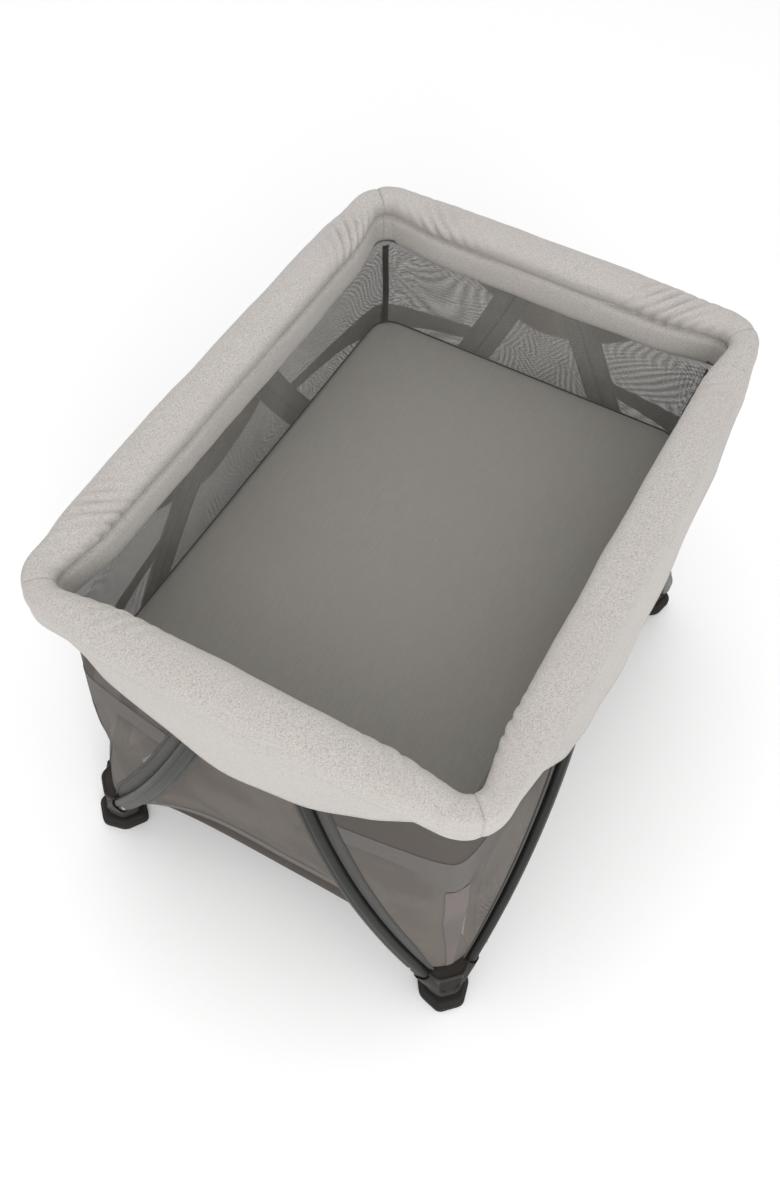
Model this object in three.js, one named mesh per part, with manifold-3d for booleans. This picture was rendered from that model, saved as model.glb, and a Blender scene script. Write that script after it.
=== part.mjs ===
// Travel play yard: a folding frame of inverted-V legs, mid-side hubs, hinged rails and a floor hub with
// diagonal arms, dressed with rail pads, skirts, a mesh shell, a lift-out bassinet insert and a mattress.
// Frame: +X along the length, -Y is the front long side, +Z up, origin on the floor at the centre. Millimetres.

import * as THREE from 'three';
import { mergeVertices } from 'three/addons/utils/BufferGeometryUtils.js';
import Module from 'manifold-3d';

const wasm = await Module();
wasm.setup();

// ---- Driving dimensions -------------------------------------------------------------------------------
const RAIL_X = 482;             // rail centre line to the middle, along X
const RAIL_Y = 343;             // rail centre line to the middle, along Y
const RAIL_Z = 699;             // rail centre line above the floor
const RAIL_RADIUS = 11;
const CORNER_RADIUS = 50;       // bend of the rail's centre line at a corner
const OPEN_PIVOT_GAP = 14;      // from the short rail's outer pin to the corner bracket
const PAD_HALF_WIDTH = 38;
const PAD_TOP = 41;             // above the rail's centre line
const PAD_BOTTOM = -47;
const FOOT_X = 455;
const FOOT_Y = 325;
const FOOT_TOP = 108;
const SOLE_HEIGHT = 26;         // rubber pad under each foot
const LEG_WIDTH = 28;           // across the leg, in the plane of its side
const LEG_DEPTH = 18;
const LEG_PIVOT_LOW = 72;       // height of the leg's pin in the foot
const LEG_PIVOT_HIGH = 680;     // height of the leg's pin in the side hub
const LEG_SLOT_FLARE = 9;       // room in the foot for the leg's outward bow
const LEG_TOP_INSET = 16;       // leg tops stand inside the rail's plane
const ARM_RADIUS = 10;
const ARM_Z = 60;
const HUB_RADIUS = 64;
const HUB_PIN_RADIUS = 50;      // floor hub's centre to an arm's pin
const FOOT_PIN_RADIUS = 521;    // floor hub's centre to the pin at an arm's outer end
const FLOOR_Z = 84;             // the yard's fabric floor
const INSERT_X = 428;           // insert's inside half-length at the mattress
const INSERT_Y = 300;
const INSERT_FLOOR = 478;
const INSERT_TOP = 648;
const MATTRESS_X = 421;
const MATTRESS_Y = 294;
const MATTRESS_BOTTOM = 485;
const MATTRESS_TOP = 514;
const GAP = 0.3;                // between faces that touch
const SHELL_INSET_X = 12;       // the mesh shell stands inside the rails' centre lines
const SHELL_INSET_Y = 29;
const SHELL_FOOT_Z = 112;       // lower tip of the corner kites
const SHELL_THICK = 3;
const PANEL_WAIST_Z = 440;      // top edge of the panels between the legs
const PANEL_HEM_Z = 88;
const CHEEK_THICK = 3.5;        // side hub's plates beside the leg tops
const CLEVIS_HALF = 15;         // half-width of a clevis over its two ears
const EAR_HALF_HEIGHT = 12;

// One entry per side: the axis that it runs along, where its legs and rails are pinned, and how it drapes.
const SIDES = [
  { name: 'front', turn: 0, reach: RAIL_Y, span: RAIL_X, footAlong: 447, footOut: 350, legPin: 45, railPin: 110,
    bracketArm: 98, legSag: 8, legBow: 30, railPastPin: 4, hem: 462, hemRise: 300 },
  { name: 'back', turn: Math.PI, reach: RAIL_Y, span: RAIL_X, footAlong: 447, footOut: 350, legPin: 45, railPin: 110,
    bracketArm: 98, legSag: 8, legBow: 30, railPastPin: 4, hem: 462, hemRise: 300 },
  { name: 'right', turn: Math.PI / 2, reach: RAIL_X, span: RAIL_Y, footAlong: 317, footOut: 480, legPin: 40,
    railPin: 72, bracketArm: 68, legSag: 20, legBow: 30, railPastPin: -12,
    hem: 540, hemRise: 215 },
  { name: 'left', turn: -Math.PI / 2, reach: RAIL_X, span: RAIL_Y, footAlong: 317, footOut: 480, legPin: 40,
    railPin: 72, bracketArm: 68, legSag: 20, legBow: 30, railPastPin: -12,
    hem: 540, hemRise: 215 },
];
const CORNERS = [
  { name: 'back_right', sx: 1, sy: 1 },
  { name: 'back_left', sx: -1, sy: 1 },
  { name: 'front_left', sx: -1, sy: -1 },
  { name: 'front_right', sx: 1, sy: -1 },
];

const material = (color, roughness, metalness = 0) =>
  new THREE.MeshStandardMaterial({ color, roughness, metalness });
const LOOKS = {
  tube: material('#3d403e', 0.35, 0.7),
  plastic: material('#3b3735', 0.55),
  rubber: material('#2f2c2a', 0.9),
  rail_fabric: material('#cbc4bd', 0.95),
  shell_fabric: material('#6c665f', 0.95),
  mesh: material('#77736d', 0.9),
  mattress: material('#86837c', 0.95),
};

const group = new THREE.Group();

// ---- Solids --------------------------------------------------------------------------------------------
function toSolid(geometry) {
  const bare = geometry.clone();
  bare.deleteAttribute('normal');
  bare.deleteAttribute('uv');
  const merged = mergeVertices(bare, 1e-4);
  const triVerts = Uint32Array.from(merged.index.array);
  const vertProperties = Float32Array.from(merged.attributes.position.array);
  return new wasm.Manifold(new wasm.Mesh({ numProp: 3, vertProperties, triVerts }));
}

function toGeometry(solid) {
  const mesh = solid.getMesh();
  const geometry = new THREE.BufferGeometry();
  geometry.setAttribute('position', new THREE.BufferAttribute(Float32Array.from(mesh.vertProperties), 3));
  geometry.setIndex(new THREE.BufferAttribute(Uint32Array.from(mesh.triVerts), 1));
  return geometry;
}

const box = (x0, x1, y0, y1, z0, z1) =>
  new THREE.BoxGeometry(x1 - x0, y1 - y0, z1 - z0).translate((x0 + x1) / 2, (y0 + y1) / 2, (z0 + z1) / 2);

// A flat plate standing in the XZ plane, from an outline of [x, z] points, between two values of y.
function standingPlate(outline, y0, y1) {
  const shape = new THREE.Shape(outline.map(([x, z]) => new THREE.Vector2(x, z)));
  const geometry = new THREE.ExtrudeGeometry(shape, { depth: y1 - y0, bevelEnabled: false });
  return geometry.rotateX(Math.PI / 2).translate(0, y1, 0);
}

function slab(outline, z0, z1) {
  const shape = new THREE.Shape(outline.map(([x, y]) => new THREE.Vector2(x, y)));
  return new THREE.ExtrudeGeometry(shape, { depth: z1 - z0, bevelEnabled: false }).translate(0, 0, z0);
}

function sweep(section, path, steps) {
  const shape = new THREE.Shape(section.map(([x, y]) => new THREE.Vector2(x, y)));
  return new THREE.ExtrudeGeometry(shape, { steps, bevelEnabled: false, extrudePath: path });
}

function joined(geometries) {
  return toGeometry(geometries.map(toSolid).reduce((whole, next) => whole.add(next)));
}

function cut(geometry, tools) {
  return toGeometry(tools.map(toSolid).reduce((whole, tool) => whole.subtract(tool), toSolid(geometry)));
}

function addMesh(name, geometry, look, placement) {
  const mesh = new THREE.Mesh(geometry, LOOKS[look]);
  mesh.name = name;
  if (placement) {
    mesh.rotation.z = placement.turn ?? 0;
    mesh.position.set(placement.x ?? 0, placement.y ?? 0, 0);
  }
  group.add(mesh);
  return mesh;
}

function circle(radius, sides, startAngle = 0) {
  const points = [];
  for (let i = 0; i < sides; i += 1) {
    const angle = startAngle + (2 * Math.PI * i) / sides;
    points.push([radius * Math.cos(angle), radius * Math.sin(angle)]);
  }
  return points;
}

// ---- Side pieces: drawn for a side that runs along X and faces -Y, then turned into place ------------------
// The two ends of each side, by the corner that each one meets.
const ENDS = {
  front: { '-1': 'left', 1: 'right' },
  back: { '-1': 'right', 1: 'left' },
  right: { '-1': 'front', 1: 'back' },
  left: { '-1': 'back', 1: 'front' },
};

function legPath(side, end) {
  const low = new THREE.Vector3(end * side.footAlong, -side.footOut, LEG_PIVOT_LOW);
  const high = new THREE.Vector3(end * side.legPin, -(side.reach - LEG_TOP_INSET), LEG_PIVOT_HIGH);
  const points = [];
  const steps = 10;
  for (let i = 0; i <= steps; i += 1) {
    const t = -0.014 + (1.028 * i) / steps;
    const bulge = 4 * t * (1 - t);
    const point = low.clone().lerp(high, t);
    point.x -= end * side.legSag * bulge;
    point.y -= side.legBow * bulge;
    points.push(point);
  }
  return new THREE.CatmullRomCurve3(points);
}

function legSection() {
  const flat = LEG_WIDTH / 2 - LEG_DEPTH / 2;
  const r = LEG_DEPTH / 2;
  const points = [];
  for (let i = 0; i < 5; i += 1) {
    const angle = (Math.PI * i) / 4;
    points.push([r * Math.cos(angle), flat + r * Math.sin(angle)]);
  }
  for (let i = 0; i < 5; i += 1) {
    const angle = Math.PI + (Math.PI * i) / 4;
    points.push([r * Math.cos(angle), -flat + r * Math.sin(angle)]);
  }
  return points;
}

function addLegs(side) {
  for (const end of [-1, 1]) {
    const geometry = sweep(legSection(), legPath(side, end), 12);
    addMesh(`leg_${side.name}_${ENDS[side.name][end]}`, geometry, 'tube', side);
  }
}

// The hub holds both leg tops between two cheeks and both rail ends in clevises.
function addSideHub(side) {
  const out = -side.reach;
  const inset = -(side.reach - LEG_TOP_INSET);
  const leg = LEG_DEPTH / 2 + GAP;
  const blockEnd = side.railPin - RAIL_RADIUS - 1.5;
  const earEnd = side.railPin + RAIL_RADIUS + 3;
  const rail = RAIL_RADIUS + GAP;
  const legCheek = side.legPin + 17;
  const bowed = inset - leg - 3.8;
  const pieces = [
    box(-blockEnd, blockEnd, out - CLEVIS_HALF, bowed, RAIL_Z - 14, RAIL_Z + 14),
    box(-legCheek, legCheek, bowed - CHEEK_THICK, bowed, LEG_PIVOT_HIGH - 12, RAIL_Z - 13),
    box(-legCheek, legCheek, inset + leg + 2, inset + leg + 2 + CHEEK_THICK, LEG_PIVOT_HIGH - 20, RAIL_Z + 14),
    box(-24, 24, bowed - 1, inset + leg + 3, RAIL_Z - 44, RAIL_Z + 14),
  ];
  for (const end of [-1, 1]) {
    const along = (x0, x1, y0, y1, half) => box(Math.min(end * x0, end * x1), Math.max(end * x0, end * x1),
      out + y0, out + y1, RAIL_Z - half, RAIL_Z + half);
    pieces.push(along(side.legPin + 16, blockEnd, -CLEVIS_HALF, CLEVIS_HALF, 14));
    pieces.push(along(blockEnd - 1, earEnd, -CLEVIS_HALF, -rail, EAR_HALF_HEIGHT));
    pieces.push(along(blockEnd - 1, earEnd, rail, CLEVIS_HALF, EAR_HALF_HEIGHT));
  }
  addMesh(`side_hub_${side.name}`, joined(pieces), 'plastic', side);
}

function addRailHalves(side) {
  const inner = side.railPin - 4;
  const outer = side.span - side.bracketArm + side.railPastPin;
  for (const end of [-1, 1]) {
    const tube = new THREE.CylinderGeometry(RAIL_RADIUS, RAIL_RADIUS, outer - inner, 12);
    tube.rotateZ(Math.PI / 2).translate((end * (inner + outer)) / 2, -side.reach, RAIL_Z);
    addMesh(`rail_${side.name}_${ENDS[side.name][end]}`, tube, 'tube', side);
  }
}

// ---- Corner brackets: a bent tube with a clevis at each end, one end round a long rail, one round a short ---
function addCornerBracket(corner) {
  const [longSide, shortSide] = [SIDES[0], SIDES[2]];
  const xPin = RAIL_X - longSide.bracketArm;
  const yPin = RAIL_Y - shortSide.bracketArm;
  const clear = RAIL_RADIUS + 4.5;
  const openEnd = yPin + OPEN_PIVOT_GAP;
  const points = [new THREE.Vector3(xPin + clear, RAIL_Y, 0)];
  for (let i = 0; i <= 6; i += 1) {
    const angle = Math.PI / 2 - (Math.PI / 2) * (i / 6);
    points.push(new THREE.Vector3(RAIL_X - CORNER_RADIUS + CORNER_RADIUS * Math.cos(angle),
      RAIL_Y - CORNER_RADIUS + CORNER_RADIUS * Math.sin(angle), 0));
  }
  points.push(new THREE.Vector3(RAIL_X, RAIL_Y - CORNER_RADIUS - 1, 0));
  const h = EAR_HALF_HEIGHT;
  const section = [[-11, -h], [11, -h], [11, h], [-11, h]];
  const path = new THREE.CatmullRomCurve3(points, false, 'centripetal');
  const pieces = [sweep(section, path, 12)];
  const rail = RAIL_RADIUS + GAP;
  for (const [a, b] of [[-CLEVIS_HALF, -rail], [rail, CLEVIS_HALF]]) {
    pieces.push(box(xPin - 13, xPin + clear + 6, RAIL_Y + a, RAIL_Y + b, -h, h));
  }
  pieces.push(box(xPin + clear, xPin + clear + 8, RAIL_Y - CLEVIS_HALF, RAIL_Y + CLEVIS_HALF, -h, h));
  pieces.push(box(RAIL_X - 11, RAIL_X + 11, openEnd, RAIL_Y - CORNER_RADIUS + 2, -h, h));
  const solid = toSolid(joined(pieces));
  const placed = solid.scale([corner.sx, corner.sy, 1]).translate([0, 0, RAIL_Z]);
  addMesh(`corner_bracket_${corner.name}`, toGeometry(placed), 'plastic');
}

// ---- Rail pads: a channel over the rail along one side, mitred through the corners ---------------------------
function railPath(side, reachEnd) {
  const points = [];
  const x = side.span - CORNER_RADIUS;
  const y = -(side.reach - CORNER_RADIUS);
  const steps = 4;
  for (let i = 0; i <= steps; i += 1) {
    const angle = reachEnd * (1 - i / steps);
    points.push(new THREE.Vector3(-x - CORNER_RADIUS * Math.sin(angle), y - CORNER_RADIUS * Math.cos(angle), 0));
  }
  const runs = 6;
  for (let i = 1; i < runs; i += 1) {
    points.push(new THREE.Vector3(-x + (2 * x * i) / runs, -side.reach, 0));
  }
  for (let i = 0; i <= steps; i += 1) {
    const angle = (reachEnd * i) / steps;
    points.push(new THREE.Vector3(x + CORNER_RADIUS * Math.sin(angle), y - CORNER_RADIUS * Math.cos(angle), 0));
  }
  return points;
}

// A section of [outward, up] points carried along a rail path, as one closed solid.
function railSweep(section, points) {
  const profile = section.map(([outward, up]) => [-up, -outward]);
  const smooth = new THREE.CatmullRomCurve3(points, false, 'centripetal');
  return sweep(profile, smooth, 28);
}

function mitreTool(side, end) {
  const tool = new THREE.BoxGeometry(300, 300, 200).translate(150 - GAP, 0, RAIL_Z);
  tool.rotateZ(Math.PI / 2 - (end * Math.PI) / 4);
  return tool.translate(end * (side.span - CORNER_RADIUS), CORNER_RADIUS - side.reach, 0);
}

function addRailPad(side) {
  const beyondMitre = Math.PI / 4 + 0.25;
  const w = PAD_HALF_WIDTH;
  const section = [[-w, PAD_BOTTOM], [-w, 20], [-24, PAD_TOP], [24, PAD_TOP], [w, 20], [w, PAD_BOTTOM],
    [22, PAD_BOTTOM], [22, 18], [-22, 18], [-22, PAD_BOTTOM]];
  const pad = railSweep(section, railPath(side, beyondMitre)).translate(0, 0, RAIL_Z);
  const notchHalf = side.legPin + 48;
  const notch = box(-notchHalf, notchHalf, -side.reach + 21, -side.reach + 37, RAIL_Z - 60, RAIL_Z + 17);
  const trimmed = cut(pad, [notch, mitreTool(side, -1), mitreTool(side, 1)]);
  addMesh(`rail_pad_${side.name}`, trimmed, 'rail_fabric', side);
}

// ---- Skirts: hang from the pads' outer faces and dip at mid-side ---------------------------------------------
function addSkirt(side) {
  const top = RAIL_Z + PAD_BOTTOM - 1;
  const half = side.hemRise;
  const outline = [[half, top], [-half, top]];
  const steps = 14;
  for (let i = 0; i <= steps; i += 1) {
    const x = -half + (2 * half * i) / steps;
    outline.push([x, side.hem + (top - 8 - side.hem) * (x / half) ** 2]);
  }
  const skirt = standingPlate(outline.reverse(), -side.reach - PAD_HALF_WIDTH, -side.reach - PAD_HALF_WIDTH + 4);
  addMesh(`skirt_${side.name}`, skirt, 'rail_fabric', side);
}

// ---- Mesh shell: a kite round each corner, and a panel between the legs of each side --------------------------
function addShellCorner(corner) {
  const x = RAIL_X - SHELL_INSET_X;
  const y = RAIL_Y - SHELL_INSET_Y;
  const top = RAIL_Z + PAD_BOTTOM - 2;
  const longOutline = [[x, SHELL_FOOT_Z], [x, top], [160, top], [395, SHELL_FOOT_Z]];
  const shortOutline = [[y, SHELL_FOOT_Z], [y, top], [150, top], [268, SHELL_FOOT_Z]];
  const long = standingPlate(longOutline, y - SHELL_THICK, y);
  const short = standingPlate(shortOutline, -x, -x + SHELL_THICK).rotateZ(Math.PI / 2);
  const solid = toSolid(joined([long, short])).scale([corner.sx, corner.sy, 1]);
  addMesh(`shell_corner_${corner.name}`, toGeometry(solid), 'mesh');
}

function addShellPanel(side) {
  const long = side.span === RAIL_X;
  const out = long ? RAIL_Y - SHELL_INSET_Y : RAIL_X - SHELL_INSET_X;
  const lowHalf = long ? 392 : 265;
  const highHalf = long ? 157 : 147;
  const top = RAIL_Z + PAD_BOTTOM - 2;
  const waistHalf = highHalf + ((lowHalf - highHalf) * (top - PANEL_WAIST_Z)) / (top - SHELL_FOOT_Z);
  const outline = [[lowHalf, PANEL_HEM_Z], [waistHalf, PANEL_WAIST_Z], [-waistHalf, PANEL_WAIST_Z],
    [-lowHalf, PANEL_HEM_Z]];
  const panel = standingPlate(outline, -out, -out + SHELL_THICK);
  addMesh(`shell_panel_${side.name}`, panel, 'shell_fabric', side);
}

// ---- Floor hub, handle, arms and feet -------------------------------------------------------------------------
const ARM_ANGLE = Math.atan2(FOOT_Y, FOOT_X);
const armAngle = (corner) => Math.atan2(corner.sy * FOOT_Y, corner.sx * FOOT_X);

function addFloorHub() {
  const disc = new THREE.CylinderGeometry(HUB_RADIUS, HUB_RADIUS, 24, 32).rotateX(Math.PI / 2)
    .translate(0, 0, ARM_Z);
  const slots = CORNERS.map((corner) => box(HUB_PIN_RADIUS - 13, HUB_RADIUS + 9, -ARM_RADIUS - GAP,
    ARM_RADIUS + GAP, ARM_Z - 20, ARM_Z + 20).rotateZ(armAngle(corner)));
  const shaft = new THREE.CylinderGeometry(11, 11, 60, 16).rotateX(Math.PI / 2).translate(0, 0, ARM_Z);
  addMesh('floor_hub', cut(disc, [...slots, shaft]), 'plastic');
}

function addPullHandle() {
  const stem = new THREE.CylinderGeometry(10.6, 10.6, 40, 16).rotateX(Math.PI / 2).translate(0, 0, ARM_Z + 8);
  const knob = new THREE.CylinderGeometry(26, 30, 10, 24).rotateX(Math.PI / 2).translate(0, 0, ARM_Z + 31);
  addMesh('pull_handle', joined([stem, knob]), 'plastic');
}

function addFloorArm(corner) {
  const inner = HUB_PIN_RADIUS - 3;
  const outer = FOOT_PIN_RADIUS + 3;
  const arm = new THREE.CylinderGeometry(ARM_RADIUS, ARM_RADIUS, outer - inner, 12).rotateZ(Math.PI / 2)
    .translate((inner + outer) / 2, 0, ARM_Z).rotateZ(armAngle(corner));
  addMesh(`floor_arm_${corner.name}`, arm, 'tube');
}

// Outlines in the foot's own frame: u points out along the corner's diagonal, v across it.
const SOLE_OUTLINE = [[40, -23], [40, 23], [2, 49], [-34, 38], [-34, -38], [2, -49]];
const BODY_OUTLINE = [[34, -22], [34, 22], [4, 45], [-30, 33], [-30, -33], [4, -45]];

function tapered(outline, z0, z1, topScale, topShift) {
  const geometry = slab(outline, z0, z1);
  const position = geometry.attributes.position;
  for (let i = 0; i < position.count; i += 1) {
    if (position.getZ(i) > (z0 + z1) / 2) {
      position.setX(i, position.getX(i) * topScale + topShift);
      position.setY(i, position.getY(i) * topScale);
    }
  }
  return geometry;
}

function placeFoot(geometry, corner) {
  const solid = toSolid(geometry.rotateZ(Math.PI / 4).translate(FOOT_X, FOOT_Y, 0));
  return solid.scale([corner.sx, corner.sy, 1]);
}

function addFoot(corner) {
  const sole = tapered(SOLE_OUTLINE, 0, SOLE_HEIGHT, 0.9, 0);
  const body = tapered(BODY_OUTLINE, SOLE_HEIGHT + GAP, FOOT_TOP, 1.06, 2);
  addMesh(`foot_pad_${corner.name}`, toGeometry(placeFoot(sole, corner)), 'rubber');
  const ears = [[-15, -ARM_RADIUS - GAP], [ARM_RADIUS + GAP, 15]].map(([v0, v1]) =>
    toSolid(box(FOOT_PIN_RADIUS - 12, FOOT_PIN_RADIUS + 30, v0, v1, ARM_Z - 12, ARM_Z + 12).rotateZ(ARM_ANGLE)));
  const armSlot = toSolid(box(FOOT_PIN_RADIUS - 30, FOOT_PIN_RADIUS + 13, -ARM_RADIUS - GAP, ARM_RADIUS + GAP,
    ARM_Z - 13, FOOT_TOP + 9).rotateZ(ARM_ANGLE));
  const legGap = LEG_DEPTH / 2 + 1.6;
  const slotLow = LEG_PIVOT_LOW - 19;
  const [long, short] = [SIDES[0], SIDES[2]];
  const legSlot = (along0, along1, out) => [[along0, along1], [out - legGap, out + legGap + LEG_SLOT_FLARE]];
  const [longX, longY] = legSlot(long.footAlong - 140, long.footAlong + 18, long.footOut);
  const [shortY, shortX] = legSlot(short.footAlong - 140, short.footAlong + 18, short.footOut);
  const longSlot = toSolid(box(...longX, ...longY, slotLow, FOOT_TOP + 9));
  const shortSlot = toSolid(box(...shortX, ...shortY, slotLow, FOOT_TOP + 9));
  const placed = placeFoot(body, { sx: 1, sy: 1 }).add(ears[0]).add(ears[1])
    .subtract(armSlot).subtract(longSlot).subtract(shortSlot).scale([corner.sx, corner.sy, 1]);
  addMesh(`foot_${corner.name}`, toGeometry(placed), 'plastic');
}

// ---- Soft floor, insert and mattress ----------------------------------------------------------------------------
function addFloorFabric() {
  const x = 426;
  const y = 290;
  const chamfer = 60;
  const outline = [[x, -y + chamfer], [x, y - chamfer], [x - chamfer, y], [-x + chamfer, y], [-x, y - chamfer],
    [-x, -y + chamfer], [-x + chamfer, -y], [x - chamfer, -y]];
  const hole = new THREE.CylinderGeometry(HUB_RADIUS + 6, HUB_RADIUS + 6, 30, 16).rotateX(Math.PI / 2)
    .translate(0, 0, FLOOR_Z);
  addMesh('yard_floor', cut(slab(outline, FLOOR_Z - 3, FLOOR_Z), [hole]), 'shell_fabric');
}

const roundedRectangle = (x, y, radius, steps) => {
  const points = [];
  for (const [cx, cy, start] of [[x, y, 0], [-x, y, 1], [-x, -y, 2], [x, -y, 3]]) {
    for (let i = 0; i <= steps; i += 1) {
      const angle = (start + i / steps) * (Math.PI / 2);
      points.push([cx - Math.sign(cx) * radius + radius * Math.cos(angle),
        cy - Math.sign(cy) * radius + radius * Math.sin(angle)]);
    }
  }
  return points;
};

function addInsert() {
  const outer = slab(roundedRectangle(INSERT_X + 3, INSERT_Y + 3, 30, 3), INSERT_FLOOR, INSERT_TOP);
  const inner = slab(roundedRectangle(INSERT_X, INSERT_Y, 27, 3), INSERT_FLOOR + 4, INSERT_TOP + 5);
  addMesh('bassinet_insert', cut(outer, [inner]), 'mesh');
}

function addMattress() {
  const outline = roundedRectangle(MATTRESS_X, MATTRESS_Y, 34, 4);
  addMesh('mattress', slab(outline, MATTRESS_BOTTOM, MATTRESS_TOP), 'mattress');
}

// ---- Assembly ---------------------------------------------------------------------------------------------------
for (const side of SIDES) {
  addLegs(side);
  addSideHub(side);
  addRailHalves(side);
  addRailPad(side);
  addSkirt(side);
  addShellPanel(side);
}
for (const corner of CORNERS) {
  addFoot(corner);
  addFloorArm(corner);
  addCornerBracket(corner);
  addShellCorner(corner);
}
addFloorHub();
addPullHandle();
addFloorFabric();
addInsert();
addMattress();

export default group;
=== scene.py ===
"""Travel play yard: tubes, feet, netting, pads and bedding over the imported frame. Metres, +Z up."""
from math import cos, exp, hypot, pi, radians, sin, sqrt

import bmesh
import bpy
from mathutils import Matrix, Vector, noise


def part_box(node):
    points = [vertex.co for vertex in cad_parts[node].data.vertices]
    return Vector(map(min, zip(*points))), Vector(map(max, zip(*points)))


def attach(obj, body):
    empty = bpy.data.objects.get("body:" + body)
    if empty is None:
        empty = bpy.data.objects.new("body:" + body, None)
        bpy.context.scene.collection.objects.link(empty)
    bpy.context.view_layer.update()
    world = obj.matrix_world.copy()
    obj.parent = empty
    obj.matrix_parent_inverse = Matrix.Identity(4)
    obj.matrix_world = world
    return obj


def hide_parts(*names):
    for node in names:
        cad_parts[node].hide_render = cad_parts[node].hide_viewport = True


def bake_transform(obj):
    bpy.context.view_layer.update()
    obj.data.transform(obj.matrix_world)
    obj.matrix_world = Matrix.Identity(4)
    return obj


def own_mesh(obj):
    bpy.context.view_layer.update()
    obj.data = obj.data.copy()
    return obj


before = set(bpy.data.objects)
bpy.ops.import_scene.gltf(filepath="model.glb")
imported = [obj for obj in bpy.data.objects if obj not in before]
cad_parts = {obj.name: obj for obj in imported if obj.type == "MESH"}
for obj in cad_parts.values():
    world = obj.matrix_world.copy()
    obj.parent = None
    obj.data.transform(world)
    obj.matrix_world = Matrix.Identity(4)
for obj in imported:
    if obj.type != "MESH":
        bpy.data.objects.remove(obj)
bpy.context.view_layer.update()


# ---- Legs -----------------------------------------------------------------------------------------------
# Eight flat-oval metal tubes, bent to a slight bow and painted a dark grey, two to a side in an A. Each has a
# groove down its outer face and a bright rivet near the foot.
MM = 0.001
RAIL_X = 482 * MM
RAIL_Y = 343 * MM
LEG_LOW = 72 * MM
LEG_HIGH = 680 * MM
CORNERS = {"back_right": (1, 1), "back_left": (-1, 1), "front_left": (-1, -1), "front_right": (1, -1)}


class Side:
    """One side of the yard, drawn running along +X and facing -Y, then turned into place."""

    def __init__(self, name, turn, reach, span, ends, **facts):
        self.name = name
        self.turn = Matrix.Rotation(turn, 3, "Z")
        self.reach = reach
        self.span = span
        self.ends = ends
        self.long = span > reach
        self.__dict__.update(facts)

    def world(self, x, out, z):
        """A point at x along the side, `out` outward from the middle of the yard."""
        return self.turn @ Vector((x, -out, z))

    def hub(self):
        return f"side_hub_{self.name}"

    def leg(self, end):
        return f"leg_{self.name}_{self.ends[end]}"

    def rail(self, end):
        return f"rail_{self.name}_{self.ends[end]}"

    def corner(self, end):
        if self.long:
            return f"{self.name}_{self.ends[end]}"
        return f"{self.ends[end]}_{self.name}"


LONG = dict(foot_along=0.447, foot_out=0.350, leg_pin=0.045, leg_top_out=0.327, rail_pin=0.110, bracket_arm=0.098,
            sag=0.008, leg_bow=0.030, hem=0.470, hem_half=0.425, hem_out=0.381, panel_low=0.290)
SHORT = dict(foot_along=0.317, foot_out=0.480, leg_pin=0.040, leg_top_out=0.466, rail_pin=0.072, bracket_arm=0.068,
             sag=0.020, leg_bow=0.030, hem=0.545, hem_half=0.300, hem_out=0.505, panel_low=0.425)
SIDES = [
    Side("front", 0, RAIL_Y, RAIL_X, {-1: "left", 1: "right"}, creased=0.35, **LONG),
    Side("back", pi, RAIL_Y, RAIL_X, {-1: "right", 1: "left"}, creased=1.0, **LONG),
    Side("right", pi / 2, RAIL_X, RAIL_Y, {-1: "front", 1: "back"}, creased=1.0, **SHORT),
    Side("left", -pi / 2, RAIL_X, RAIL_Y, {-1: "back", 1: "front"}, creased=0.35, **SHORT),
]


class Sock:
    """A shader socket that can be added, taken away and multiplied."""

    def __init__(self, look, socket):
        self.look = look
        self.socket = socket

    def math(self, operation, *others):
        return self.look.node("Math", {"operation": operation}, dict(enumerate((self, *others))))

    def __add__(self, other):
        return self.math("ADD", other)

    def __sub__(self, other):
        return self.math("SUBTRACT", other)

    def __mul__(self, other):
        return self.math("MULTIPLY", other)

    __radd__, __rmul__ = __add__, __mul__

    def sine(self):
        return self.math("SINE")

    def ramp(self, low, high, to_low=0.0, to_high=1.0):
        return self.look.node("MapRange", {"interpolation_type": "SMOOTHSTEP"}, {
            "Value": self, "From Min": low, "From Max": high, "To Min": to_low, "To Max": to_high}, "Result")


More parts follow.
